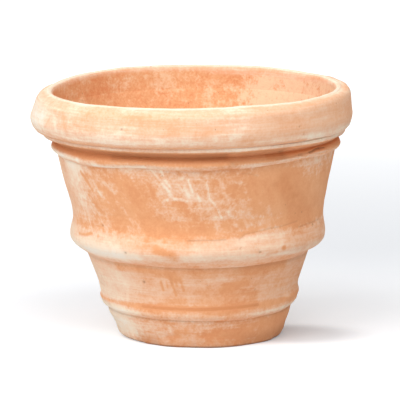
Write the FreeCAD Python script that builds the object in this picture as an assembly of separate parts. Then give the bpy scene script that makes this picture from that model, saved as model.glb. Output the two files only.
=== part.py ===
import FreeCAD
import Part

import os

# A hand-built terracotta planter with a rolled rim, as the clay members that a potter lutes together.
# The pot stands on its foot at the origin, with its axis on +Z. Sizes are in millimetres. The wall is
# made in four courses, each with a scarfed edge that laps the course below. A band covers each scarf.

# The wall: outside diameters at the ground, at each joint between courses, and at the top
FOOT_DIAMETER = 203.0
LOWER_WALL_DIAMETER = 235.0
BELLY_WALL_DIAMETER = 293.0
COLLAR_WALL_DIAMETER = 351.0
TOP_WALL_DIAMETER = 387.0

# Heights above the ground, apart from the collar, which is placed from the top
POT_HEIGHT = 310.0
LOWER_JOINT_HEIGHT = 48.0
BELLY_JOINT_HEIGHT = 127.0
COLLAR_JOINT_BELOW_TOP = 70.0

WALL = 15.0  # measured level, across the wall
SCARF_RISE = 8.0  # how much higher a joint is outside than inside
FOOT_ROUNDING = 6.0

# The floor slab, wedged in the taper of the foot course
FLOOR = 17.0
FOOT_RECESS = 3.0  # the slab is held off the ground, so that water can run out
DRAIN_HOLE = 30.0
DRAIN_EDGE_ROUNDING = 2.0
FLOOR_COIL = 12.0  # the coil pressed into the corner between floor and wall
FLOOR_COIL_FULLNESS = 0.4  # 0.5 is a straight slope across the corner, less is hollow

BAND_EDGE = 1.0  # thickness of a band where its face ends on the wall
BAND_LIP = 2.0  # thickness of a band along its lower edge

# How far each band reaches below and above its joint, and how far its crown stands off the wall
LOWER_BAND_BELOW = 13.0
LOWER_BAND_ABOVE = 13.0
LOWER_BAND_PROUD = 5.0

BELLY_BAND_BELOW = 25.0
BELLY_BAND_ABOVE = 11.0
BELLY_BAND_PROUD = 12.6
BELLY_BAND_TOP_PROUD = 8.5  # at the upper edge of its roll
BELLY_SMEAR_ABOVE = 30.0  # the clay smeared up the wall above the roll
BELLY_SMEAR_STEP = 1.2  # how far the smear lies behind the roll

COLLAR_BELOW = 12.0
COLLAR_ABOVE = 8.0
COLLAR_PROUD = 5.0

# The rolled rim, wrapped round the top course and over its edge
RIM_ROLL_HEIGHT = 51.0
RIM_OVERHANG = 15.0  # beyond the wall, at the widest place
RIM_WIDEST_BELOW_TOP = 34.0
RIM_SHOULDER_BELOW_TOP = 18.0
RIM_SHOULDER_SETBACK = 1.2  # the face leans in by this much from the widest place to the shoulder
RIM_TUCK = 7.5  # how far the roll draws in at its lower edge
LIP_DEPTH = 12.0  # how far the roll reaches down inside the mouth
LIP_ROUNDING = 8.0
LIP_PROUD = 1.0  # step between the roll and the wall, inside the mouth

# The bead that carries the roll from below
RIM_BEAD_HEIGHT = 7.5
RIM_BEAD_PROUD = 9.5
RIM_BEAD_ROUNDING = 2.5

# Heights that follow from the sizes above
COLLAR_JOINT_HEIGHT = POT_HEIGHT - COLLAR_JOINT_BELOW_TOP
RIM_SEAT_HEIGHT = POT_HEIGHT - LIP_DEPTH
RIM_ROLL_BOTTOM = POT_HEIGHT - RIM_ROLL_HEIGHT
FLOOR_TOP = FOOT_RECESS + FLOOR

# The wall's outside line, as (height, radius), straight between one place and the next
WALL_LINE = [
    (0.0, FOOT_DIAMETER / 2),
    (LOWER_JOINT_HEIGHT, LOWER_WALL_DIAMETER / 2),
    (BELLY_JOINT_HEIGHT, BELLY_WALL_DIAMETER / 2),
    (COLLAR_JOINT_HEIGHT, COLLAR_WALL_DIAMETER / 2),
    (POT_HEIGHT, TOP_WALL_DIAMETER / 2),
]

# Where a quarter round passes its corner, as a share of the way in along each side
QUARTER_ROUND = 1 - 0.5**0.5


def outside(height, proud=0.0):
    """The outline point that stands proud of the wall's outside at a height."""
    for (low, low_radius), (high, high_radius) in zip(WALL_LINE, WALL_LINE[1:]):
        if height <= high:
            break
    share = (height - low) / (high - low)
    return (low_radius + share * (high_radius - low_radius) + proud, height)


def inside(height, proud=0.0):
    """The outline point that stands proud of the wall's inside, towards the axis, at a height."""
    return outside(height, -WALL - proud)


def rounded(start, corner, end):
    """An arc step from start to end that rounds off a corner."""
    through = tuple(c + QUARTER_ROUND * (s + e - 2 * c) for s, c, e in zip(start, corner, end))
    return through, end


def spun(start, *steps):
    """The solid that an outline of (radius, height) points makes when it is spun about the pot's axis.

    A step is the next point, or a pair of points that an arc passes through and ends at.
    """
    edges = []
    here = FreeCAD.Vector(start[0], 0, start[1])
    for step in (*steps, start):
        is_arc = isinstance(step[0], tuple)
        points = [FreeCAD.Vector(radius, 0, height) for radius, height in (step if is_arc else [step])]
        curve = Part.Arc(here, *points) if is_arc else Part.LineSegment(here, *points)
        edges.append(curve.toShape())
        here = points[-1]
    face = Part.Face(Part.Wire(edges))
    return face.revolve(FreeCAD.Vector(0, 0, 0), FreeCAD.Vector(0, 0, 1), 360)


def scarf_on_top(joint):
    """The upper edge of the course below a joint, as outline points from outside to inside."""
    return [outside(joint), outside(joint + SCARF_RISE / 2), inside(joint - SCARF_RISE / 2)]


def scarf_below(joint):
    """The lower edge of the course above a joint, as outline points from inside to outside."""
    return [inside(joint), inside(joint - SCARF_RISE / 2), outside(joint + SCARF_RISE / 2)]


def against_wall(low, joint, high):
    """The back of a band that covers a joint, as outline points from its top down."""
    return [outside(high), outside(joint), outside(low)]


def base_disc():
    """The floor slab, with the drain hole. Its tapered edge wedges in the foot course."""
    hole = DRAIN_HOLE / 2
    edge = DRAIN_EDGE_ROUNDING
    top, bottom = FLOOR_TOP, FOOT_RECESS
    return spun(
        inside(top),
        (hole + edge, top),
        rounded((hole + edge, top), (hole, top), (hole, top - edge)),
        (hole, bottom + edge),
        rounded((hole, bottom + edge), (hole, bottom), (hole + edge, bottom)),
        inside(bottom),
    )


def floor_coil():
    """The coil that fills the inside corner between the floor slab and the foot course."""
    corner, corner_height = inside(FLOOR_TOP)
    on_floor = (corner - FLOOR_COIL, corner_height)
    on_wall = inside(FLOOR_TOP + FLOOR_COIL)
    hollow = tuple(
        c + FLOOR_COIL_FULLNESS * (f + w - 2 * c)
        for f, c, w in zip(on_floor, (corner, corner_height), on_wall)
    )
    return spun(on_wall, (hollow, on_floor), (corner, corner_height))


def foot_wall():
    """The course that the pot stands on, from the ground to the lower band."""
    toe = (outside(0, -FOOT_ROUNDING)[0], 0.0)
    return spun(
        toe,
        rounded(toe, outside(0), outside(FOOT_ROUNDING)),
        *scarf_on_top(LOWER_JOINT_HEIGHT),
        inside(0),
    )


def middle_wall():
    """The course from the lower band to the belly band."""
    return spun(*scarf_below(LOWER_JOINT_HEIGHT), *scarf_on_top(BELLY_JOINT_HEIGHT))


def upper_wall():
    """The tall course from the belly band to the collar."""
    return spun(*scarf_below(BELLY_JOINT_HEIGHT), *scarf_on_top(COLLAR_JOINT_HEIGHT))


def neck_wall():
    """The top course, which the rim is wrapped round."""
    return spun(*scarf_below(COLLAR_JOINT_HEIGHT), outside(RIM_SEAT_HEIGHT), inside(RIM_SEAT_HEIGHT))


def round_band(joint, below, above, proud):
    """A band of one plain round over a joint, with a crisp lower lip."""
    low, high = joint - below, joint + above
    return spun(
        *against_wall(low, joint, high),
        outside(low, BAND_LIP),
        (outside(joint, proud), outside(high, BAND_EDGE)),
    )


def lower_band():
    """The slim band low on the pot, over the joint of the foot course and the middle course."""
    return round_band(LOWER_JOINT_HEIGHT, LOWER_BAND_BELOW, LOWER_BAND_ABOVE, LOWER_BAND_PROUD)


def collar_bead():
    """The bead under the rim, over the joint of the upper course and the neck."""
    return round_band(COLLAR_JOINT_HEIGHT, COLLAR_BELOW, COLLAR_ABOVE, COLLAR_PROUD)


def belly_band():
    """The heavy band round the belly: a roll, undercut below, with clay smeared up the wall above it."""
    low = BELLY_JOINT_HEIGHT - BELLY_BAND_BELOW
    roll_top = BELLY_JOINT_HEIGHT + BELLY_BAND_ABOVE
    smear_top = BELLY_JOINT_HEIGHT + BELLY_SMEAR_ABOVE
    crown = outside(BELLY_JOINT_HEIGHT, BELLY_BAND_PROUD)
    return spun(
        *against_wall(low, BELLY_JOINT_HEIGHT, smear_top),
        outside(low, BAND_LIP),
        (crown, outside(roll_top, BELLY_BAND_TOP_PROUD)),
        outside(roll_top, BELLY_BAND_TOP_PROUD - BELLY_SMEAR_STEP),
        outside(smear_top, BAND_EDGE),
    )


def rim_bead():
    """The slim bead between the neck and the roll, which carries the roll's lower edge."""
    low = RIM_ROLL_BOTTOM - RIM_BEAD_HEIGHT
    face_low = outside(low, RIM_BEAD_PROUD)
    face_high = outside(RIM_ROLL_BOTTOM, RIM_BEAD_PROUD)
    turn_in = (face_low[0] - RIM_BEAD_ROUNDING, low)
    turn_up = (face_low[0], low + RIM_BEAD_ROUNDING)
    turn_over = (face_high[0], RIM_ROLL_BOTTOM - RIM_BEAD_ROUNDING)
    tuck = (face_high[0] - RIM_BEAD_ROUNDING, RIM_ROLL_BOTTOM)
    return spun(
        outside(low),
        turn_in,
        rounded(turn_in, face_low, turn_up),
        turn_over,
        rounded(turn_over, face_high, tuck),
        outside(RIM_ROLL_BOTTOM),
    )


def rim_roll():
    """The rolled rim: a heavy hook of clay that goes over the neck's edge and down its outside."""
    widest_height = POT_HEIGHT - RIM_WIDEST_BELOW_TOP
    widest = outside(widest_height, RIM_OVERHANG)
    shoulder = (widest[0] - RIM_SHOULDER_SETBACK, POT_HEIGHT - RIM_SHOULDER_BELOW_TOP)
    crest = (outside(POT_HEIGHT)[0] - WALL / 2, POT_HEIGHT)
    lip = inside(POT_HEIGHT - LIP_ROUNDING, LIP_PROUD)
    tucked = (widest[0] - RIM_TUCK, RIM_ROLL_BOTTOM)
    return spun(
        inside(RIM_SEAT_HEIGHT, LIP_PROUD),
        lip,
        rounded(lip, (lip[0], POT_HEIGHT), crest),
        rounded(crest, (shoulder[0], POT_HEIGHT), shoulder),
        widest,
        rounded(widest, (widest[0], RIM_ROLL_BOTTOM), tucked),
        outside(RIM_ROLL_BOTTOM),
        outside(RIM_SEAT_HEIGHT),
    )


MEMBERS = [
    base_disc,
    floor_coil,
    foot_wall,
    lower_band,
    middle_wall,
    belly_band,
    upper_wall,
    collar_bead,
    neck_wall,
    rim_bead,
    rim_roll,
]


def main():
    os.makedirs("parts", exist_ok=True)
    for member in MEMBERS:
        solid = member()
        solid.exportStep(f"parts/{member.__name__}.step")
        box = solid.optimalBoundingBox()
        print(
            f"{member.__name__}: {solid.Volume / 1000:.0f} cm3, across {box.XLength:.1f},",
            f"from {box.ZMin:.1f} up to {box.ZMax:.1f} mm, valid {solid.isValid()}",
        )


main()
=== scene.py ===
import math

import bpy
import numpy as np
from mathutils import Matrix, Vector


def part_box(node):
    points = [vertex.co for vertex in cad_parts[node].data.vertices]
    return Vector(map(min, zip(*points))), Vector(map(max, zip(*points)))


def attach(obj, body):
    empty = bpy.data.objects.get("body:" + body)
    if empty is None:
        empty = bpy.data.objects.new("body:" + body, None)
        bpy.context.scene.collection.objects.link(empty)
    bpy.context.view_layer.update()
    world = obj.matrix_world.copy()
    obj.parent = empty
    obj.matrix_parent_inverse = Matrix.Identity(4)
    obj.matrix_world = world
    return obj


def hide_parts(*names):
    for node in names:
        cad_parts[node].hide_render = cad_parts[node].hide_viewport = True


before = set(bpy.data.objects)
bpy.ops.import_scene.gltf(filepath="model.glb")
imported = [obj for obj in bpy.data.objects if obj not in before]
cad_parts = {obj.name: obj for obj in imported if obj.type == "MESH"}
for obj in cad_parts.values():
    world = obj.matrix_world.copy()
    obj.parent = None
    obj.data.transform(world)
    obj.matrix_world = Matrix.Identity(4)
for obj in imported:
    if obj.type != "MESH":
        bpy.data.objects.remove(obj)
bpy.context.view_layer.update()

mm = 0.001
bpy.context.scene.view_settings.view_transform = "Standard"

# the whole pot; sizes in mm, angles in degrees from the front, to the right
pot = {
    "steps": 720,            # quads round a ring
    "rowOut": 1.6,           # row height on faces that show
    "rowIn": 4.0,            # row height inside
    "wall": 15.0,            # measured level, across the wall
    "scarf": 8.0,            # how much higher a joint is outside than inside
    "footRadius": 100.8,
    "pressed": 4.5,          # how deep a band is pressed into the wall
    "samePoint": 0.01,       # points this close are one
    "doubles": 0.001,        # and those that are merged after the turn
    "leastSegments": 2,      # in a rounded corner, however small
    "softenBy": 0.5,         # each time that a section is smoothed
    "sharpFrom": 50,         # a cut edge turns by more degrees than this
    "insideFace": (-0.2, 0.3),  # how far a face turns to the axis, from outside to inside
    "outOfRound": 0.9, "ovalTurn": 0.7,  # how oval the mouth is, and which way, in radians
    "threeSided": 0.5, "threeTurn": 2.0,
    "bulge": 1.2, "bulgeFrom": 150, "bulgeTall": 85,  # fullness of the tall course
    # how far the rings slid right, and tipped up on the right, as they were stacked
    "stackHeights": [0, 20, 50, 100, 127, 180, 230, 290, 310],
    "slid": [2.3, 1.0, -0.6, -2.1, -3.0, -3.4, -4.9, -7.0, -7.5],
    "tipped": [0, 0.3, 0.6, 0.4, 0.25, 0.45, 0.7, 0.8, 0.8],
}

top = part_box("rim_roll")[1].z / mm
courseNodes = ["foot_wall", "middle_wall", "upper_wall", "neck_wall"]
wallHeights = [0.0] + [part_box(node)[1].z / mm for node in courseNodes]
wallRadii = [pot["footRadius"]] + [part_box(node)[1].x / mm for node in courseNodes]


def outer(height, proud=0.0):
    return np.interp(height, wallHeights, wallRadii) + proud


def inner(height, proud=0.0):
    return outer(height, proud) - pot["wall"]


# drawing a section and turning it

def clearSelection():
    if bpy.context.object and bpy.context.object.mode != "OBJECT":
        bpy.ops.object.mode_set(mode="OBJECT")
    bpy.ops.object.select_all(action="DESELECT")


def place(corner):
    return Vector((corner[0] * mm, 0, corner[1] * mm))


def pickCorners(piece, corners):
    bpy.ops.mesh.select_all(action="DESELECT")
    bpy.ops.object.mode_set(mode="OBJECT")
    for vertex in piece.data.vertices:
        vertex.select = any((vertex.co - place(c)).length < pot["samePoint"] * mm for c in corners)
    bpy.ops.object.mode_set(mode="EDIT")


def drawSection(name, corners):
    clearSelection()
    bpy.ops.mesh.primitive_plane_add(size=mm)  # merged into one point, the first corner
    piece = bpy.context.object
    piece.name = piece.data.name = name
    bpy.ops.object.mode_set(mode="EDIT")
    bpy.ops.mesh.select_mode(type="VERT")
    bpy.ops.mesh.select_all(action="SELECT")
    bpy.ops.mesh.merge(type="CENTER")
    bpy.ops.transform.translate(value=place(corners[0]))
    for here, there in zip(corners, corners[1:]):
        bpy.ops.mesh.extrude_region_move(
            TRANSFORM_OT_translate={"value": place(there) - place(here)})
    pickCorners(piece, [corners[0], corners[-1]])
    bpy.ops.mesh.edge_face_add()
    for corner in corners:
        if len(corner) > 2 and corner[2]:
            pickCorners(piece, [corner])
            segments = pot["leastSegments"] + round(corner[2] / pot["rowOut"])
            bpy.ops.mesh.bevel(offset=corner[2] * mm, offset_type="OFFSET", affect="VERTICES",
                               segments=segments)
    return piece


def rowsMissing(piece, edge):
    a, b = (piece.data.vertices[i].co for i in edge.vertices)
    middle = (a + b) / 2
    shows = middle.x / mm > outer(middle.z / mm, -pot["wall"] / 2)
    row = pot["rowOut"] if shows else pot["rowIn"]
    return math.ceil((a - b).length / mm / row) - 1


def addRows(piece):
    bpy.ops.mesh.select_mode(type="EDGE")
    while True:
        bpy.ops.mesh.select_all(action="DESELECT")
        bpy.ops.object.mode_set(mode="OBJECT")
        missing = [rowsMissing(piece, edge) for edge in piece.data.edges]
        if max(missing) < 1:
            break
        for edge, rows in zip(piece.data.edges, missing):
            edge.select = rows == max(missing)
        bpy.ops.object.mode_set(mode="EDIT")
        bpy.ops.mesh.subdivide(number_cuts=max(missing))
    bpy.ops.object.mode_set(mode="EDIT")
    bpy.ops.mesh.select_mode(type="VERT")


def turnRing(name, corners, soften=0):
    piece = drawSection(name, corners)
    addRows(piece)
    if soften:
        bpy.ops.mesh.select_all(action="SELECT")
        bpy.ops.mesh.vertices_smooth(factor=pot["softenBy"], repeat=soften)
    bpy.ops.object.mode_set(mode="OBJECT")
    screw = piece.modifiers.new("turn", "SCREW")
    screw.axis = "Z"
    screw.angle = 2 * math.pi
    screw.steps = screw.render_steps = pot["steps"]
    screw.use_merge_vertices = True
    screw.merge_threshold = pot["samePoint"] * mm
    bpy.ops.object.modifier_apply(modifier=screw.name)
    bpy.ops.object.mode_set(mode="EDIT")
    bpy.ops.mesh.select_all(action="SELECT")
    bpy.ops.mesh.remove_doubles(threshold=pot["doubles"] * mm)
    bpy.ops.mesh.normals_make_consistent(inside=False)
    bpy.ops.mesh.select_mode(type="EDGE")
    bpy.ops.mesh.select_all(action="DESELECT")
    bpy.ops.mesh.edges_select_sharp(sharpness=math.radians(pot["sharpFrom"]))
    bpy.ops.mesh.mark_sharp()  # the cut edges, where one piece is luted to the next
    bpy.ops.mesh.select_mode(type="VERT")
    bpy.ops.object.mode_set(mode="OBJECT")
    bpy.ops.object.shade_smooth()
    return piece


# working the clay by hand

def readPoints(piece):
    points = np.empty(len(piece.data.vertices) * 3)
    piece.data.vertices.foreach_get("co", points)
    return points.reshape(-1, 3) / mm


def writePoints(piece, points):
    piece.data.vertices.foreach_set("co", (points * mm).ravel())
    piece.data.update()


def readNormals(piece):
    normals = np.empty(len(piece.data.vertices) * 3)
    piece.data.vertex_normals.foreach_get("vector", normals)
    return normals.reshape(-1, 3)


def aroundPot(points):
    x, y, z = points.T
    return np.degrees(np.arctan2(x, -y)), z, np.hypot(x, y)


def fromRound(angle, height, radius):
    turn = np.radians(angle)
    return np.stack([radius * np.sin(turn), -radius * np.cos(turn), height], axis=1)


def ease(value, start, end):
    share = np.clip((value - start) / (end - start), 0, 1)
    return share * share * (3 - 2 * share)


def angleApart(angle, other):
    return (angle - other + 180) % 360 - 180


def nearPath(angle, height, path):
    best = np.full(len(angle), np.inf)
    for (a0, h0), (a1, h1) in zip(path, path[1:] or path):
        perDegree = math.radians(1) * outer((h0 + h1) / 2)
        du, dv = (a1 - a0) * perDegree, h1 - h0
        u, v = angleApart(angle, (a0 + a1) / 2) * perDegree + du / 2, height - h0
        squared = du * du + dv * dv or 1.0  # a single dot has no length
        along = np.clip((u * du + v * dv) / squared, 0, 1)
        best = np.minimum(best, np.hypot(u - along * du, v - along * dv))
    return best


# what one touch of the hand does: lift in mm, and paint
# a mark is (kind, strength, width, path), and a path's points are (angle, height)
markKinds = {
    "slip": {"lift": 0.5, "bloom": 0.8},               # pale slip dragged over the wall
    "haze": {"bloom": 1.0},                            # lime bloom, dried on the face; in places partly painted bounce light and highlight
    "even": {"bloom": 0.3, "calm": 1.0},               # a thinner, more even bloom
    "smooth": {"calm": 1.0},
    "bare": {"bloom": -1.0},                           # rubbed back to the orange clay
    "stainAndShade": {"rustAndShade": 1.0},                            # darker, iron-red clay; also laid as red-brown painted shade in the cove, on the collar, in the groove under the roll and low on the foot
    "paintedShade": {"shade": 1.0},                           # painted shade, laid under bands and edges, in the cove under the rim and on the side away from the key lamp
    "pit": {"lift": -1.8, "shade": 1.0},
    "crack": {"lift": -1.2, "shade": 0.7},
    "seam": {"lift": -0.5, "shade": 0.3},
    "scar": {"rustAndShade": 0.4, "bloom": -0.9},
    "salt": {"salt": 1.0},                             # pale crust
    "paintedShadeInside": {"shade": 0.16},                           # painted shade on the inside
    "dent": {"lift": -1.0},
    "swell": {"lift": 1.0},
}
insideKinds = ("salt", "paintedShadeInside")  # the others are on the outside only


def workClay(piece, look):
    points = readPoints(piece)
    normals = readNormals(piece)
    angle, height, radius = aroundPot(points)
    if "wander" in look:  # the lower edge rises and falls as it goes round
        rise = np.interp(angle, *zip(*look["wander"])) * (1 - ease(height, *look["wanderOver"]))
        radius += outer(height + rise) - outer(height)
        height += rise
    inward = -(normals[:, 0] * points[:, 0] + normals[:, 1] * points[:, 1]) / radius
    inside = ease(inward, *pot["insideFace"])
    # faces that look down get paler: lime bloom, and painted bounce light from the floor
    paint = {"bloom": look.get("bloom", 0.0) - look.get("underPaleAndBounce", 0.0) * normals[:, 2]}
    for name in ("rustAndShade", "shade", "salt", "drag", "calm"):
        paint[name] = np.full(len(points), look.get(name, 0.0))
    paint["inside"] = inside
    if "lipDown" in look:  # the pale lip turns down a little way inside the mouth
        lipEnd = top - np.interp(angle, *zip(*look["lipDown"]))
        paint["inside"] = inside * ease(lipEnd - height, *look["lipFade"])
        # the top of the lip gets paler: worn white, and a painted highlight along the crest
        start, end = look["lipPaleOver"]
        paint["bloom"] += look["lipPale"] * ease(height, top - start, top - end)
    if "smearInto" in look:  # where a band is smeared out, it looks like the wall
        smeared = ease(height, *look["smearOver"])
        for name in ("bloom", "drag", "calm"):
            paint[name] += smeared * (look["smearInto"].get(name, 0.0) - paint[name])
    lift = np.zeros(len(points))
    for kind, strength, width, path in look.get("marks", []):
        side = inside if kind in insideKinds else 1 - inside
        near = strength * (1 - ease(nearPath(angle, height, path), 0, width)) * side
        for effect, amount in markKinds[kind].items():
            if effect == "lift":
                lift += amount * near
            else:
                paint[effect] += amount * near
    radius += lift
    writePoints(piece, settle(angle, height, radius, look.get("isRim", False)))
    for name, values in paint.items():
        layer = piece.data.attributes.new(name, "FLOAT", "POINT")
        layer.data.foreach_set("value", values.astype(np.float32))


def settle(angle, height, radius, isRim):
    turn = np.radians(angle)
    share = height / wallHeights[-1]
    upBulge = np.clip((height - pot["bulgeFrom"]) / pot["bulgeTall"], 0, 1)
    radius = radius + pot["outOfRound"] * share * np.cos(2 * turn + pot["ovalTurn"])
    radius = radius + pot["threeSided"] * share * np.cos(3 * turn + pot["threeTurn"])
    radius = radius + pot["bulge"] * np.sin(np.pi * upBulge)
    tip = np.radians(np.interp(height, pot["stackHeights"], pot["tipped"]))
    slide = np.interp(height, pot["stackHeights"], pot["slid"])
    if isRim:
        radius = radius + rimChange(turn, height, radius)
        slide = slide - rimRoll["shiftLeft"] * ease(radius, *rimRoll["shiftOver"])
        height = height + rimRise(turn, height)
    points = fromRound(angle, height, radius)
    points[:, 2] += np.tan(tip) * points[:, 0]
    points[:, 0] += slide
    return points


# what the hands leave in wet clay; size and height in mm
unevenness = {
    "handPressure": {"size": 60, "height": 0.8, "depth": 1},
    "wipedClay": {"size": 16, "height": 0.3, "depth": 2},
}


def uneven(piece, name, size, height, depth):
    clouds = bpy.data.textures.get(name) or bpy.data.textures.new(name, "CLOUDS")
    clouds.noise_scale = size * mm
    clouds.noise_depth = depth
    push = piece.modifiers.new(name, "DISPLACE")
    push.texture = clouds
    push.texture_coords = "LOCAL"
    push.strength = 2 * height * mm  # half of it outwards, half inwards
    push.mid_level = 0.5
    bpy.ops.object.modifier_apply(modifier=push.name)


def finishPiece(piece, look, material):
    workClay(piece, look)
    for name, bumps in unevenness.items():
        uneven(piece, name, **bumps)
    points = readPoints(piece)
    points[:, 2] = np.maximum(points[:, 2], 0)  # it stands on the floor
    writePoints(piece, points)
    piece.data.materials.clear()
    piece.data.materials.append(material)
    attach(piece, "root")
    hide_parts(look["node"])
    print("made", piece.name, len(piece.data.polygons), "faces")


# materials

class Wire:
    tree = None  # the node tree being wired

    def __init__(self, socket):
        self.socket = socket

    @classmethod
    def node(cls, kind, settings, sockets, out=0):
        made = cls.tree.nodes.new("ShaderNode" + kind)
        for name, value in settings.items():
            setattr(made, name, value)
        for name, value in sockets.items():
            if isinstance(value, cls):
                cls.tree.links.new(value.socket, made.inputs[name])
            else:
                made.inputs[name].default_value = value
        if made.outputs:
            return cls(made.outputs[out])

    @classmethod
    def math(cls, operation, *values, clamp=False):
        settings = {"operation": operation, "use_clamp": clamp}
        return cls.node("Math", settings, dict(enumerate(values)))

    def __add__(self, other):
        return self.math("ADD", self, other)

    def __radd__(self, other):
        return self.math("ADD", other, self)

    def __sub__(self, other):
        return self.math("SUBTRACT", self, other)

    def __rsub__(self, other):
        return self.math("SUBTRACT", other, self)

    def __mul__(self, other):
        return self.math("MULTIPLY", self, other)

    def __rmul__(self, other):
        return self.math("MULTIPLY", other, self)

    def clamp(self):
        return self.math("ADD", self, 0.0, clamp=True)

    def size(self):
        return self.math("ABSOLUTE", self)

    def rise(self, start, end):
        settings = {"interpolation_type": "SMOOTHSTEP"}
        return self.node("MapRange", settings, {"Value": self, "From Min": start, "From Max": end})


def startNodes(owner):  # a material or a world
    owner.use_nodes = True
    Wire.tree = owner.node_tree
    Wire.tree.nodes.clear()


def mixColour(share, a, b):  # sockets 6, 7 and 2 are the Mix node's colours
    return Wire.node("Mix", {"data_type": "RGBA", "clamp_factor": True}, {0: share, 6: a, 7: b}, out=2)


def distance(vector):
    return Wire.node("VectorMath", {"operation": "LENGTH"}, {0: vector}, out="Value")


def rgb(r, g, b):
    return (r, g, b, 1.0)


def attribute(name):
    return Wire.node("Attribute", {"attribute_name": name}, {}, out="Fac")


def mottle(where, size, seed, detail=3.0, squash=(1, 1, 1)):
    moved = Wire.node("Mapping", {}, {
        "Vector": where,
        "Location": (seed, 2 * seed, 3 * seed),
        "Scale": [share / (size * mm) for share in squash]})
    return Wire.node("TexNoise", {}, {
        "Vector": moved, "Scale": 1.0, "Detail": detail, "Roughness": clayLook["noiseRough"]})


def blendOf(noise, shares):
    return sum(noise[name] * share for name, share in shares.items())


clayLook = {
    "deep": rgb(0.80, 0.34, 0.15),        # orange body, in the darker patches
    "warm": rgb(0.88, 0.44, 0.22),        # and in the lighter ones
    "veil": rgb(0.90, 0.58, 0.39),        # thin bloom over the clay
    "lime": rgb(0.95, 0.77, 0.59),        # thick bloom
    "ironRedAndShade": rgb(0.72, 0.28, 0.11),        # stains, and the red-brown of the painted shade
    "chalk": rgb(0.95, 0.85, 0.72),       # where it is worn white
    "crust": rgb(0.94, 0.71, 0.49),       # dried salts, inside
    "sootAndShade": rgb(0.31, 0.11, 0.04),        # dirt in cracks and pits, and the dark of the painted shade
    "sand": rgb(0.88, 0.51, 0.27),        # the inside
    # how much cover brings up each bloom, from and to, and the most of it
    "blooms": {"veil": (0.0, 0.85, 0.92), "lime": (0.6, 1.35, 0.9), "chalk": (1.2, 2.0, 0.9)},
    "rustAndShadeOver": (0.1, 0.9), "rustAndShadeMost": 0.8,
    "saltOver": (0.1, 1.0), "saltMost": 0.7,
    "speckOver": (0.76, 0.80), "speckDirt": 0.45, "speckDeep": 0.8,
    "dirtAndShadeMost": 0.75,
    "twist": 3.6,                         # slant of the finger drags, in radians for each metre up
    "dragWipes": 0.6,                     # how much of the brushing they take off
    "calmBy": 0.5,
    "scratchThin": 26.0, "scratchPale": 0.30, "scratchPatchy": 3.0, "scratchLevel": 0.3,
    "noiseRough": 0.55,
    "sandGrit": 0.5, "wipedGrain": 0.4,   # more grain in the bump, inside and where it is wiped
    "bump": 0.5, "bumpDeep": 0.7,         # depth in mm
    "roughness": 0.86, "roughVary": 0.2, "roughDirt": 0.1,
    "specular": 0.25,
}

# noise in the clay, sizes in mm; a high squash draws it out along the other axes
clayNoise = {
    "broad": {"size": 85, "seed": 3.1},
    "middle": {"size": 26, "seed": 7.7, "detail": 4.0},
    "fine": {"size": 7, "seed": 1.3},
    "grit": {"size": 2.6, "seed": 2.2},
    "brush": {"size": 60, "seed": 5.2, "detail": 4.0, "squash": (1, 1, 12)},
    "hairs": {"size": 45, "seed": 8.3, "squash": (1, 1, 20)},
}
slantedNoise = {
    "drag": {"size": 75, "seed": 9.4, "detail": 4.0, "squash": (4.5, 4.5, 1)},
    "scratch": {"size": 120, "seed": 6.1, "detail": 1.0, "squash": (8, 8, 1)},
}
speckNoise = {"size": 4.5, "seed": 4.4, "detail": 1.0}

# how much of each noise goes into a layer
clayMix = {
    "tone": {"broad": 1.7, "middle": 1.2, "fine": 1.0, "grit": 1.2},
    "toneDragged": {"drag": 1.0},
    "wiped": {"brush": 1.4, "hairs": 1.1},
    "patches": {"drag": 0.2, "broad": 0.8, "middle": 0.9, "fine": 1.0, "grit": 0.9},
    "patchesDragged": {"drag": 0.7, "fine": 0.6},
    "rustAndShade": {"middle": 1.6, "fine": 1.5},
    "sand": {"broad": 1.4, "middle": 1.2, "grit": 2.0, "fine": 1.6},
    "salt": {"broad": 1.8, "middle": 1.4, "fine": 1.6, "grit": 1.0},
    "grain": {"grit": 0.35, "fine": 0.4},
}


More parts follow.
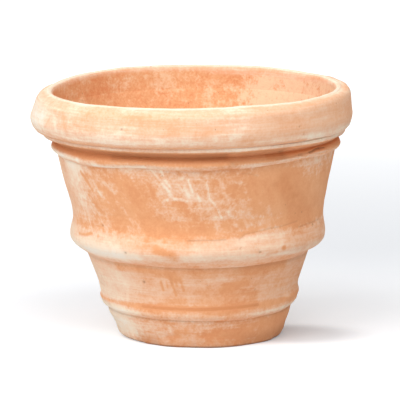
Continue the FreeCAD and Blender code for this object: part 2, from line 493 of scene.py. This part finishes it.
def clay(name, paler=0.0):
    material = bpy.data.materials.new(name)
    startNodes(material)
    where = Wire.node("TexCoord", {}, {}, out="Object")
    height = Wire.node("SeparateXYZ", {}, {"Vector": where}, out="Z")
    twisted = Wire.node("VectorRotate", {"rotation_type": "Z_AXIS"}, {
        "Vector": where, "Angle": height * clayLook["twist"]})
    # each noise is moved to lie about zero
    noise = {kind: mottle(where, **grain) - 0.5 for kind, grain in clayNoise.items()}
    noise.update({kind: mottle(twisted, **grain) - 0.5 for kind, grain in slantedNoise.items()})
    layer = {kind: blendOf(noise, shares) for kind, shares in clayMix.items()}

    # the clay itself
    dragged = attribute("drag")
    tone = (0.5 + layer["tone"] + layer["toneDragged"] * dragged).clamp()
    colour = mixColour(tone, clayLook["deep"], clayLook["warm"])
    colour = mixColour(paler, colour, clayLook["veil"])

    # bloom, stains, and the red-brown painted shade
    wiped = layer["wiped"] * (1.0 - dragged * clayLook["dragWipes"])
    patches = wiped + layer["patches"] + layer["patchesDragged"] * dragged
    patches = patches * (1.0 - attribute("calm") * clayLook["calmBy"])
    scratches = (1.0 - noise["scratch"].size() * clayLook["scratchThin"]).clamp()
    scratched = (noise["broad"] * clayLook["scratchPatchy"] + clayLook["scratchLevel"]).clamp()
    cover = attribute("bloom") + patches + scratches * dragged * scratched * clayLook["scratchPale"]
    for bloom, (start, end, most) in clayLook["blooms"].items():
        colour = mixColour(cover.rise(start, end) * most, colour, clayLook[bloom])
    rustAndShade = (attribute("rustAndShade") * (1.0 + layer["rustAndShade"])).rise(*clayLook["rustAndShadeOver"])
    colour = mixColour(rustAndShade * clayLook["rustAndShadeMost"], colour, clayLook["ironRedAndShade"])

    # the sandy inside, with its salts
    inside = attribute("inside")
    sand = mixColour((0.5 + layer["sand"]).clamp(), clayLook["deep"], clayLook["sand"])
    salt = (attribute("salt") + layer["salt"]).rise(*clayLook["saltOver"])
    sand = mixColour(salt * clayLook["saltMost"], sand, clayLook["crust"])
    colour = mixColour(inside, colour, sand)

    # dirt in pits and cracks, and painted shade
    shade = attribute("shade")
    specks = mottle(where, **speckNoise).rise(*clayLook["speckOver"])
    dirtAndShade = (shade + specks * clayLook["speckDirt"]).clamp()
    colour = mixColour(dirtAndShade * clayLook["dirtAndShadeMost"], colour, clayLook["sootAndShade"])

    grain = layer["grain"] + noise["grit"] * inside * clayLook["sandGrit"]
    grain = grain + wiped * clayLook["wipedGrain"] - specks * clayLook["speckDeep"]
    bump = Wire.node("Bump", {}, {
        "Height": grain, "Strength": clayLook["bump"], "Distance": clayLook["bumpDeep"] * mm})
    roughness = clayLook["roughness"] + noise["fine"] * clayLook["roughVary"]
    roughness = (roughness - shade * clayLook["roughDirt"]).clamp()
    shader = Wire.node("BsdfPrincipled", {}, {
        "Base Color": colour, "Roughness": roughness, "Normal": bump,
        "Specular IOR Level": clayLook["specular"]})
    Wire.node("OutputMaterial", {}, {"Surface": shader})
    return material


bareClay = clay("bareClay")
wallClay = clay("wallClay")
bandClay = clay("bandClay")
rimClay = clay("rimClay", paler=0.35)
print("clay materials ready")


# the four wall courses, scarfed one on another

def courseSection(low, high):
    lowIn, highIn = low - pot["scarf"], high - pot["scarf"]
    return [(outer(low), low), (outer(high), high), (inner(highIn), highIn), (inner(lowIn), lowIn)]


footWall = {
    "node": "foot_wall", "slot": "wall_clay", "drag": 0.5,
    "rounding": 3.5, "insideRounding": 2.0,
    "bloom": 0.40,
    "marks": [
        ("swell", 0.9, 15, [(-180, 30), (180, 30)]),
        # painted shade under the lower band
        ("paintedShade", 0.35, 3, [(-180, 36.5), (180, 36.5)]),
        # painted shadow where the foot meets the floor
        ("paintedShade", 0.75, 3.5, [(-180, 0), (180, 0)]),
        # painted shade, darker and redder low on the front, right and back
        ("paintedShade", 0.29, 18, [(-45, 6), (180, 6)]),
        ("stainAndShade", 0.30, 14, [(-40, 6), (180, 6)]),
        ("bare", 0.80, 30, [(48, 20), (110, 20)]),
        ("haze", 1.15, 40, [(-95, 22), (-56, 22)]),
        ("swell", 1.2, 8, [(-120, 31), (-65, 31)]),
        ("swell", 2.5, 14, [(-26, 2), (26, 2)]),
        ("swell", 0.9, 10, [(-120, 7), (-72, 7)]),
        ("dent", 2.2, 5, [(-95, 0), (-46, 0)]),
        ("dent", 1.6, 8, [(64, 1), (120, 1)]),
        ("haze", 0.40, 14, [(-38, 24), (-24, 16)]),
        ("scar", 0.5, 5, [(-36, 18), (-27, 22)]),
        ("scar", 0.5, 8, [(-19, 16), (-8, 22)]),
        ("haze", 0.45, 5, [(-20, 28), (-19, 16)]),
        ("haze", 0.30, 6, [(4, 27), (20, 28)]),
        ("bare", 0.5, 14, [(8, 14), (34, 20)]),
        ("scar", 0.3, 10, [(18, 18), (30, 12)]),
        ("haze", 0.15, 10, [(48, 24), (62, 26)]),
        ("stainAndShade", 0.3, 24, [(70, 20), (110, 26)]),
    ],
}
high = wallHeights[1]
highIn = high - pot["scarf"]
piece = turnRing("footWall", [
    (outer(0), 0, footWall["rounding"]), (outer(high), high),
    (inner(highIn), highIn), (inner(0), 0, footWall["insideRounding"])])
finishPiece(piece, footWall, wallClay)

middleWall = {
    "node": "middle_wall", "slot": "wall_clay", "drag": 0.2, "calm": 0.9,
    "bloom": 0.48,
    "marks": [
        ("bare", 0.42, 13, [(-45, 101), (0, 101), (50, 102)]),
        # painted shade under the belly band, more of it on the right
        ("paintedShade", 0.24, 4, [(-180, 105.5), (180, 105.5)]),
        ("paintedShade", 0.10, 9, [(20, 102), (90, 102)]),
        ("haze", 0.50, 45, [(-95, 85), (-48, 78)]),
        ("bare", 0.06, 25, [(45, 80), (100, 80)]),
        ("scar", 0.5, 7, [(-16, 94), (-10, 90)]),
        ("scar", 0.9, 2.4, [(-20.3, 87), (-19.6, 76)]),
        ("scar", 0.5, 2.0, [(-17.2, 88), (-16.8, 80)]),
        ("scar", 0.9, 3.2, [(-14.8, 96), (-14.2, 86)]),
        ("scar", 0.8, 2.2, [(-14.2, 86), (-12.6, 69)]),
        ("scar", 0.6, 2.0, [(-12.2, 92), (-11.6, 82)]),
        ("scar", 0.7, 2.2, [(-9.6, 92), (-8.0, 77)]),
        ("scar", 0.5, 10, [(14, 78), (26, 84)]),
        ("bare", 0.25, 24, [(4, 66), (30, 68)]),
        ("haze", 0.20, 26, [(-40, 88), (-22, 70)]),
        ("haze", 0.15, 18, [(-4, 92), (12, 92)]),
        ("bare", 0.35, 7, [(-22, 60), (-8, 62)]),
        ("pit", 0.9, 3, [(-30.5, 85)]),
    ],
}
piece = turnRing("middleWall", courseSection(wallHeights[1], wallHeights[2]))
finishPiece(piece, middleWall, wallClay)

upperWall = {
    "node": "upper_wall", "slot": "wall_clay", "drag": 1.0,
    "bloom": 0.30,
    "marks": [
        ("swell", 2.0, 45, [(70, 135), (105, 165)]),
        ("haze", 0.55, 50, [(-100, 150), (-86, 235)]),
        ("even", 1.20, 40, [(-80, 160), (-64, 228)]),
        ("haze", 0.50, 34, [(-62, 230), (-57, 180)]),
        ("haze", 0.35, 10, [(-64, 228), (-50, 226)]),
        ("haze", 0.35, 9, [(-30, 229), (-20, 230), (4, 224)]),
        ("scar", 0.80, 4, [(-55, 221), (-52, 211), (-49.5, 200)]),
        ("scar", 0.55, 6, [(-45, 207), (-34, 190), (-29, 172)]),
        ("scar", 0.50, 4, [(-53, 192), (-47, 172)]),
        ("haze", 0.45, 3.5, [(-46, 198), (-41, 186), (-38, 176)]),
        ("bare", 0.50, 24, [(-42, 185), (-36, 168)]),
        ("bare", 0.50, 26, [(-31, 206), (-26, 180), (-22, 160)]),
        ("bare", 0.35, 18, [(-20, 156), (0, 152), (12, 156)]),
        ("haze", 0.35, 3, [(-33, 203), (-28, 186)]),
        ("haze", 0.25, 4, [(-37, 196), (-33, 180)]),
        ("haze", 0.25, 26, [(-10, 218), (4, 190)]),
        ("haze", 0.30, 12, [(8.2, 168), (14, 176)]),
        ("scar", 0.35, 7, [(-12, 228), (-4, 226)]),
        ("scar", 0.30, 8, [(14, 208), (19, 200)]),
        ("scar", 0.30, 9, [(24, 214), (36, 206)]),
        ("bare", 0.95, 50, [(34, 205), (50, 180), (100, 190)]),
        ("stainAndShade", 0.60, 34, [(40, 208), (52, 172)]),
        ("haze", 0.30, 14, [(-14, 214), (-9, 201), (-3, 197)]),
        ("bare", 0.30, 12, [(20, 165), (28, 176)]),
        ("slip", 0.9, 2.2, [(-17.9, 233), (-14.6, 219)]),
        ("slip", 0.9, 3.0, [(-13.9, 215), (-11.4, 206)]),
        ("slip", 0.6, 2.0, [(-14.2, 234), (-13.1, 226)]),
        ("slip", 0.8, 2.2, [(-12.3, 219), (-10.6, 211)]),
        ("slip", 0.6, 7, [(-10.6, 202)]),
        ("slip", 0.7, 2.4, [(-14.3, 191.5), (-12.1, 195)]),
        ("slip", 0.8, 3.2, [(-9.4, 196), (-6.2, 195.4), (-4.3, 192.6)]),
        ("slip", 0.9, 2.0, [(-7.2, 214), (-5.5, 206)]),
        ("slip", 0.7, 2.6, [(-4.9, 209), (-3.1, 199)]),
        ("slip", 0.9, 2.0, [(-3.0, 219), (-1.4, 204)]),
        ("slip", 0.8, 3.0, [(0.6, 200), (1.6, 194)]),
        ("slip", 0.8, 2.0, [(4.4, 217), (4.9, 206), (5.6, 196)]),
        ("slip", 0.8, 1.8, [(5.8, 195), (7.8, 188), (10.9, 171)]),
        ("scar", 0.6, 1.8, [(-11.4, 157), (-9.8, 160.5), (-8.2, 161)]),
        ("seam", 0.7, 1.6, [(19.1, 225.3), (23, 224.4), (26, 221.4)]),
        ("swell", 1.4, 9, [(45, 234), (56, 233)]),
        ("even", 0.60, 9, [(44, 232), (58, 230)]),
        ("pit", 0.7, 2.2, [(63, 223)]),
        ("scar", 0.7, 3.5, [(70, 217)]),
    ],
}
piece = turnRing("upperWall", courseSection(wallHeights[2], wallHeights[3]))
finishPiece(piece, upperWall, wallClay)

neckWall = {
    "node": "neck_wall", "slot": "wall_clay", "bloom": -0.3,
    "scarfIn": 4.0, "scarfDown": 12.0,      # the top is cut back inside, for the rim
    # the cove under the rim: a dent, and painted shade where the rim's shadow falls, taken back on the
    # left and right
    "cove": [
        ("dent", 2.0, 9, [(-180, 247), (180, 247)]),
        ("stainAndShade", 0.9, 11, [(-180, 247), (180, 247)]),
        ("paintedShade", 0.50, 10, [(-180, 247.5), (180, 247.5)]),
        ("paintedShade", 0.30, 4, [(-180, 253), (60, 253)]),
        ("paintedShade", -0.30, 9, [(-95, 246), (-36, 245)]),
        ("paintedShade", -0.34, 9, [(14, 247.5), (34, 247.5)]),
        ("paintedShade", -0.62, 14, [(40, 248), (110, 249)]),
        ("stainAndShade", -0.60, 12, [(16, 248), (110, 249)]),
    ],
    "crust": [
        ("salt", 1.00, 100, [(108, 285), (144, 285)]),
        # painted shade inside, at the back and on the left
        ("paintedShadeInside", 0.55, 60, [(165, 285), (195, 285)]),
        ("paintedShadeInside", 0.7, 50, [(-95, 290), (-138, 288)]),
        ("salt", 0.40, 14, [(-168, 278), (-164, 288)]),
        ("salt", 0.30, 12, [(172, 276), (178, 292)]),
        ("salt", 0.40, 14, [(-150, 294), (-138, 292)]),
    ],
}
neckWall["marks"] = neckWall["cove"] + neckWall["crust"]
low, high = wallHeights[3], wallHeights[4]
lowIn, highIn = low - pot["scarf"], high - neckWall["scarfDown"]
piece = turnRing("neckWall", [
    (outer(low), low), (outer(high), high), (inner(high, neckWall["scarfIn"]), high),
    (inner(highIn), highIn), (inner(lowIn), lowIn)])
finishPiece(piece, neckWall, wallClay)


# the bands over the joints: a face is (above the band's foot, proud of the wall, rounding)

def bandSection(band):
    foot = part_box(band["node"])[0].z / mm
    face = [(outer(foot + up, proud), foot + up, rounding) for up, proud, rounding in band["face"]]
    low, high = face[0][1], face[-1][1]
    return face + [(outer(high, -pot["pressed"]), high), (outer(low, -pot["pressed"]), low)]


lowerBand = {
    "node": "lower_band", "slot": "band_clay",
    "face": [(2.0, 0.8, 0.5), (5.5, 5.8, 2.2), (11.5, 5.4, 3), (21, 2.2, 4), (33, 0.2, 0), (38, -0.6, 0)],
    "bloom": 0.25, "underPaleAndBounce": 0.35, "drag": 0.3,
    "calm": 0.3, "smearInto": middleWall, "smearOver": (54, 60),
    "wander": [(-180, 0), (-40, 0), (-10, -0.8), (14, -2.0), (30, -2.4), (48, -1), (75, 1), (180, 0)],
    "wanderOver": (44, 58),
    "marks": middleWall["marks"] + [
        # the ridge's upper face rubbed back to orange and its lower face paler: lime bloom, and painted
        # bounce light from the floor
        ("bare", 0.75, 4.5, [(-180, 52.5), (180, 52.5)]),
        ("scar", 1.30, 4, [(-34, 53), (4, 52), (36, 53)]),
        ("stainAndShade", 0.45, 4, [(-34, 53), (4, 52), (36, 53)]),
        ("haze", 0.15, 5, [(-180, 43), (180, 43)]),
        ("haze", 0.50, 5, [(-95, 43), (-38, 43)]),
        ("haze", 0.40, 5, [(32, 42), (95, 44)]),
        ("dent", 2.6, 5, [(-120, 38), (-65, 38)]),
        ("swell", 1.3, 6, [(-120, 51), (-65, 51)]),
        ("swell", 2.2, 8, [(60, 55), (120, 55)]),
        ("dent", 1.8, 6, [(62, 41), (120, 41)]),
        ("haze", 0.7, 30, [(-95, 48), (-52, 45)]),
    ],
}
piece = turnRing("lowerBand", bandSection(lowerBand), soften=2)
finishPiece(piece, lowerBand, bandClay)

bellyBand = {
    "node": "belly_band", "slot": "band_clay",
    "face": [(5.0, 0.8, 0.6), (16.5, 13.0, 6), (26, 13.2, 6), (36, 8.6, 3), (45, 4.2, 4), (54, 1.5, 4),
             (64, 0.2, 0), (72, -0.5, 0)],
    "bloom": 0.58, "underPaleAndBounce": 0.10, "drag": 0.2, "calm": 0.7,
    "smearInto": upperWall, "smearOver": (141, 150),
    "wander": [(-180, 0), (-70, 1), (-25, 0), (0, -1.1), (20, -1.3), (40, 0), (70, 1.6), (180, 0)],
    "wanderOver": (112, 126),
    "marks": upperWall["marks"] + [
        ("haze", 0.5, 26, [(-90, 130), (-40, 126)]),
        # the lower face of the belly band paler: lime bloom, and painted bounce light from the floor
        ("haze", 0.40, 8, [(-180, 121), (180, 121)]),
        ("bare", 0.15, 7, [(-180, 110), (180, 110)]),
        ("haze", 0.45, 9, [(-60, 119), (-28, 118)]),
        ("dent", 3.0, 9, [(62, 109), (120, 109)]),
        # painted shade on the belly's right, away from the key lamp
        ("paintedShade", 0.11, 40, [(52, 130), (85, 130)]),
        ("haze", 0.25, 12, [(0, 132), (40, 134)]),
        ("haze", 0.35, 7, [(18, 139), (34, 145), (52, 149), (83, 150)]),
        ("bare", 0.45, 6, [(20, 149), (34, 158), (52, 163), (70, 165)]),
        ("seam", 0.8, 1.6, [(19, 142.3), (22, 148.4), (34, 152.4), (42, 153.5), (52, 156.8)]),
        ("seam", 1.0, 1.6, [(53, 148.5), (64, 150.4), (74, 151)]),
        ("crack", 0.5, 1.7, [(-4, 142.7), (2, 143.0), (8, 142.7), (12.8, 143.3)]),
        ("scar", 0.9, 3.5, [(-67, 137), (-60, 138), (-55, 142)]),
        ("scar", 0.6, 3.0, [(-63, 149), (-59, 146)]),
        ("scar", 0.7, 3.5, [(-50, 140)]),
        ("scar", 0.5, 3.0, [(-47.5, 155), (-47, 147)]),
        ("scar", 0.6, 5, [(-23, 141.5)]),
        ("scar", 0.6, 4, [(-14.5, 141.5)]),
        ("scar", 0.8, 9, [(-18, 131), (-10, 122)]),
        ("scar", 1.5, 5, [(42, 127.5)]),
        ("scar", 0.5, 4, [(33, 121), (38, 123)]),
        ("pit", 0.8, 2.4, [(-33.4, 124.5)]),
        ("pit", 0.8, 2.4, [(-47.5, 154)]),
        ("pit", 0.8, 2.4, [(29, 125.3)]),
        ("pit", 0.8, 2.4, [(65, 147.5)]),
        ("pit", 0.8, 2.4, [(74.7, 145.7)]),
    ],
}
piece = turnRing("bellyBand", bandSection(bellyBand), soften=2)
finishPiece(piece, bellyBand, bandClay)

collarBead = {
    "node": "collar_bead", "slot": "band_clay",
    "face": [(1.5, 1.2, 0.6), (5.5, 6.0, 2.2), (11, 5.4, 3.0), (16, 2.2, 3.0), (22, -1.5, 0)],
    "wander": [(-180, 3), (-90, 4.5), (-75, 3.5), (-50, 0.5), (-38, 1.6), (-27, 3.7), (-18, 3.7),
               (-10, 1.2), (0, 1.0), (12, 2), (20, 2), (32, 4), (43, 5), (55, 6), (90, 4.5), (180, 3)],
    "wanderOver": (238, 250),
    "bloom": 0.10, "underPaleAndBounce": 0.45, "smearInto": neckWall, "smearOver": (243, 248),
    "marks": neckWall["cove"] + [
        ("dent", 1.8, 7, [(-120, 233), (-72, 233)]),
        # a pale line along the collar's lower edge on the left: lime bloom, and a painted highlight
        ("haze", 1.20, 6.5, [(-95, 242), (-66, 239.5), (-53, 237)]),
        ("haze", 0.60, 5, [(-53, 237), (-42, 234.5)]),
        ("haze", 0.70, 3.5, [(-44, 233), (-20, 236)]),
        ("haze", 0.25, 5, [(-20, 236), (0, 234), (45, 239)]),
        # painted shadow of the rim over the collar, on the right
        ("stainAndShade", 0.60, 7, [(30, 244), (60, 247), (95, 246)]),
        ("paintedShade", 0.40, 5, [(14, 241), (32, 241.5), (46, 242.5)]),
        ("crack", 1.7, 1.9, [(51, 242.8), (53, 243.8), (55.5, 245.1), (58, 245.3)]),  # a tear in the clay
        ("crack", 1.4, 1.7, [(58, 245.3), (62, 244.7)]),
        ("crack", 0.9, 1.5, [(44.5, 241.8), (51, 242.8)]),
        ("crack", 0.5, 1.5, [(33, 240.2), (44.5, 241.8)]),
        ("swell", 1.0, 2.5, [(51, 240.2), (54, 241.4), (62, 242)]),
        ("seam", 0.5, 1.2, [(12.2, 242), (13.4, 236)]),
        ("seam", 0.4, 1.2, [(14.2, 242), (14.9, 237)]),
    ],
}
piece = turnRing("collarBead", bandSection(collarBead), soften=1)
finishPiece(piece, collarBead, bandClay)

rimBead = {
    "node": "rim_bead", "slot": "band_clay",
    "face": [(-6, -1.5, 0), (-1.5, 0.8, 2), (1.4, 5.0, 2), (2.9, 10.2, 1.0), (8.8, 9.4, 1.4)],
    "bloom": 0.85, "calm": 0.5, "smearInto": neckWall, "smearOver": (256, 254.5),
    "marks": neckWall["cove"] + [
        ("dent", 2.4, 14, [(65, 256), (130, 256)]),
        # paler on the right: lime bloom, and painted light where the roll shades the bead
        ("haze", 0.25, 5, [(12, 258), (70, 258)]),
        ("swell", 0.6, 14, [(-120, 256), (-65, 256)]),
    ],
}
piece = turnRing("rimBead", bandSection(rimBead), soften=1)
finishPiece(piece, rimBead, bandClay)


# the rolled rim, hooked over the neck

rimRoll = {
    "node": "rim_roll", "slot": "rim_clay", "isRim": True,
    "lipDepth": 12.5, "lipRounding": 1.2, "lipWide": 7.5, "lipTall": 1.5,
    "tailLong": 9.0, "tailDeep": 3.0,       # the tail, worked into the neck
    "tailBend": 2.0, "tailFlush": 0.3,
    "mouth": 176.5, "mouthRounding": 4.5,
    "shoulderIn": 1.5, "shoulderRounding": 12.0,
    "widestBelow": 38.0, "widestRounding": 8.0, "overReach": 0.5,
    "foot": 50.0, "tuck": 7.0, "tuckRounding": 4.0,
    "overlap": 1.0,                         # how far it is pressed into the neck
    "shiftLeft": 3.5, "shiftOver": (176, 190),  # all but its inside sits to the left
    "shoulderFrom": 178, "shoulderBroad": 20,   # the radius from which it is sloped or filled out
    "slopeLeft": 8.3, "slopeAt": -90,       # how far the shoulder falls in on the left
    "slopeFrom": 35, "slopeTall": 32, "slopeCurve": 1.5,
    "squareRight": 5.0, "squareAt": 130,    # how far it is filled out at the right and back
    "squareFrom": 11, "squareTall": 10, "squareCurve": 1.3, "squareSpread": 0.6,
    "rise": [(-180, 5.4), (-150, 6.9), (-125, 4.2), (-110, 1.8), (-90, 0.3), (-45, -1.6),
             (45, -1.6), (90, 0.4), (116, 2.3), (126, 2.2), (150, 4.6), (180, 5.4)],
    "riseOver": (287, 304),
    "lipDown": [(-180, 7), (-120, 5), (-70, 3.5), (70, 3.5), (115, 8), (150, 10.5), (180, 7)],
    "lipFade": (-1.0, 1.0),                 # how softly the pale lip ends, inside
    "lipPaleOver": (2.0, 0.8),              # from here to here below the top it gets paler: worn white, with a painted highlight along the crest
    "bloom": 0.58, "lipPale": 0.7, "calm": 0.1,
    "marks": neckWall["crust"] + [
        ("swell", 1.8, 24, [(-130, 272), (-62, 272)]),
        ("swell", 0.5, 18, [(60, 270), (120, 270)]),
        ("swell", 1.0, 8, [(70, 261), (120, 261)]),
        ("swell", 1.4, 7, [(30, 261), (72, 261)]),
        # the groove under the roll painted darker: painted shade in the crease
        ("bare", 0.50, 4, [(-80, 262), (45, 262)]),
        ("stainAndShade", 0.35, 3, [(-80, 261.5), (45, 261.5)]),
        ("swell", 1.4, 14, [(102, 303), (116, 304)]),
        ("haze", 0.24, 40, [(-80, 285), (-26, 285)]),
        ("smooth", 0.70, 40, [(28, 285), (80, 285)]),
        ("bare", 0.15, 30, [(26, 288), (60, 288)]),
        ("bare", 0.25, 30, [(64, 288), (96, 288)]),
        ("haze", 0.75, 30, [(-115, 290), (-68, 285)]),
        ("bare", 0.25, 16, [(-52, 288), (-30, 294), (0, 290)]),
        ("haze", 0.30, 12, [(-50, 272), (-20, 270), (8, 272)]),
        ("scar", 0.45, 7, [(-51, 292), (-49, 274)]),
        ("scar", 0.40, 3, [(-79, 291), (-75, 277)]),
        ("scar", 0.40, 3, [(-70, 282), (-65, 268)]),
        ("scar", 0.35, 3, [(-60, 290), (-62, 276)]),
        ("haze", 0.30, 4, [(-76, 288), (-71, 272)]),
        ("haze", 0.25, 4, [(-68, 292), (-64, 276)]),
        ("haze", 0.35, 5, [(-58, 292), (-55, 274)]),
        ("bare", 0.40, 10, [(2, 276), (10, 284)]),
        ("haze", 0.25, 8, [(14, 272), (18, 284)]),
        ("haze", 0.40, 9, [(24, 264), (60, 265), (85, 267)]),
        ("pit", 0.8, 2.4, [(-24.6, 284)]),
        ("pit", 0.6, 2.0, [(41, 280)]),
    ],
}


def rimChange(turn, height, radius):
    left = np.clip(np.cos(turn - math.radians(rimRoll["slopeAt"])), 0, 1)
    right = np.clip(np.cos(turn - math.radians(rimRoll["squareAt"])), 0, 1) ** rimRoll["squareSpread"]
    onShoulder = np.clip((radius - rimRoll["shoulderFrom"]) / rimRoll["shoulderBroad"], 0, 1)
    upSlope = np.clip((height - top + rimRoll["slopeFrom"]) / rimRoll["slopeTall"], 0, 1)
    upSquare = np.clip((height - top + rimRoll["squareFrom"]) / rimRoll["squareTall"], 0, 1)
    fall = rimRoll["slopeLeft"] * left * upSlope ** rimRoll["slopeCurve"]
    fill = rimRoll["squareRight"] * right * upSquare ** rimRoll["squareCurve"]
    return onShoulder * (fill - fall)


def rimRise(turn, height):
    return np.interp(np.degrees(turn), *zip(*rimRoll["rise"])) * ease(height, *rimRoll["riseOver"])


foot, seat = top - rimRoll["foot"], top - rimRoll["lipDepth"]
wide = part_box("rim_roll")[1].x / mm + rimRoll["overReach"]
tail = wallHeights[-1] - neckWall["scarfDown"]
lipOut, shoulder = rimRoll["mouth"] + rimRoll["lipWide"], top - rimRoll["lipTall"]
piece = turnRing("rimRoll", [
    (inner(tail - rimRoll["tailLong"], rimRoll["tailDeep"]), tail - rimRoll["tailLong"]),
    (inner(tail - rimRoll["tailBend"], rimRoll["tailFlush"]), tail - rimRoll["tailBend"]),
    (rimRoll["mouth"], top, rimRoll["mouthRounding"]),
    (lipOut, top, rimRoll["lipRounding"]),
    (lipOut + rimRoll["lipTall"], shoulder, rimRoll["lipRounding"] / 2),
    (wide - rimRoll["shoulderIn"], shoulder, rimRoll["shoulderRounding"]),
    (wide, top - rimRoll["widestBelow"], rimRoll["widestRounding"]),
    (wide - rimRoll["tuck"], foot, rimRoll["tuckRounding"]),
    (outer(foot, -rimRoll["overlap"]), foot),
    (outer(seat, -rimRoll["overlap"]), seat),
    (inner(seat, neckWall["scarfIn"] - rimRoll["overlap"]), seat)])
finishPiece(piece, rimRoll, rimClay)


# the floor slab with its drain hole, and the coil round its corner

baseDisc = {"node": "base_disc", "slot": "bare_clay", "hole": 15.0, "holeRounding": 2.0}
low, high = (corner.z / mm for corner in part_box("base_disc"))
piece = turnRing("baseDisc", [
    (baseDisc["hole"], low, baseDisc["holeRounding"]),
    (baseDisc["hole"], high, baseDisc["holeRounding"]),
    (inner(high), high), (inner(low), low)])
finishPiece(piece, baseDisc, bareClay)

floorCoil = {"node": "floor_coil", "slot": "bare_clay", "reach": 12.0, "hollow": 4.5}
low, high = (corner.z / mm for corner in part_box("floor_coil"))
waist = low + floorCoil["hollow"]
piece = turnRing("floorCoil", [
    (inner(high), high), (inner(waist, -floorCoil["hollow"]), waist),
    (inner(low, -floorCoil["reach"]), low), (inner(low), low)])
finishPiece(piece, floorCoil, bareClay)


# floor, light and camera

studio = {
    "floorSize": 60.0, "floorColour": rgb(0.72, 0.74, 0.77),
    # glow of the floor, which only the camera and reflections see
    "nearGlow": 0.40, "farGlow": 0.78, "farFrom": 0.5, "farTo": 2.0,
    "paintedShadows": [  # painted shadows, where the floor glows less: beside the foot, and behind on the right
        {"at": (0.11, -0.012, 0), "reach": (0.12, 0.086, 1), "by": 0.25},
        {"at": (0.20, 0.08, 0), "reach": (0.18, 0.22, 1), "by": 0.05},
        {"at": (0.22, 1.05, 0), "reach": (0.50, 0.95, 1), "by": 0.22},
    ],
    "paintedShadowEdge": 0.4,
    "skyLow": 0.15, "skyHigh": 0.42,
    "lampAim": (0, 0, 0.15),
    "lamps": {
        "key": {"power": 72.0, "size": 2.6, "at": (-1.75, -1.60, 2.25)},
        "fill": {"power": 52.0, "size": 2.2, "at": (0.75, -1.58, 2.52)},
    },
}

clearSelection()
bpy.ops.mesh.primitive_plane_add(size=studio["floorSize"])
floor = bpy.context.object
floor.name = "floor"
floorMaterial = bpy.data.materials.new("paleFloor")
startNodes(floorMaterial)


def seenDirectly():
    rays = ["Is Camera Ray", "Is Glossy Ray", "Is Transmission Ray"]
    seen = [Wire.node("LightPath", {}, {}, out=ray) for ray in rays]
    return sum(seen).clamp()


paper = Wire.node("BsdfDiffuse", {}, {"Color": studio["floorColour"]})
onFloor = Wire.node("TexCoord", {}, {}, out="Object")
far = distance(onFloor).rise(studio["farFrom"], studio["farTo"])
bright = studio["nearGlow"] + far * (studio["farGlow"] - studio["nearGlow"])
# the painted shadows take glow off the floor
for shadowPool in studio["paintedShadows"]:
    fromShadowPool = Wire.node("Mapping", {"vector_type": "TEXTURE"}, {
        "Vector": onFloor, "Location": shadowPool["at"], "Scale": shadowPool["reach"]})
    bright = bright - (1 - distance(fromShadowPool).rise(studio["paintedShadowEdge"], 1.0)) * shadowPool["by"]
glow = Wire.node("Emission", {}, {"Color": seenDirectly() * bright, "Strength": 1.0})
both = Wire.node("AddShader", {}, {0: paper, 1: glow})
Wire.node("OutputMaterial", {}, {"Surface": both})
floor.data.materials.append(floorMaterial)

world = bpy.data.worlds.new("studio")
bpy.context.scene.world = world
startNodes(world)
seen = seenDirectly()
facing = Wire.node("TexCoord", {}, {}, out="Generated")
upward = Wire.node("SeparateXYZ", {}, {"Vector": facing}, out="Z")
skyLight = studio["skyLow"] + upward.rise(0.0, 1.0) * (studio["skyHigh"] - studio["skyLow"])
sky = Wire.node("Background", {}, {"Color": seen + (1 - seen) * skyLight, "Strength": 1.0})
Wire.node("OutputWorld", {}, {"Surface": sky})

for name, lamp in studio["lamps"].items():
    bpy.ops.object.light_add(type="AREA", location=lamp["at"])
    light = bpy.context.object
    light.name = name
    light.data.energy = lamp["power"]
    light.data.size = lamp["size"]
    aim = Vector(studio["lampAim"]) - light.location
    light.rotation_euler = aim.to_track_quat("-Z", "Y").to_euler()

cameraSet = {"at": (0.0005, -5.0, 0.962), "down": 9.02, "lens": 365.0, "sensor": 36.0, "seesTo": 200.0}
bpy.ops.object.camera_add(location=cameraSet["at"])
camera = bpy.context.object
camera.rotation_euler = (math.radians(90 - cameraSet["down"]), 0, 0)
camera.data.lens = cameraSet["lens"]
camera.data.sensor_width = cameraSet["sensor"]
camera.data.clip_end = cameraSet["seesTo"]
bpy.context.scene.camera = camera
print("studio ready")
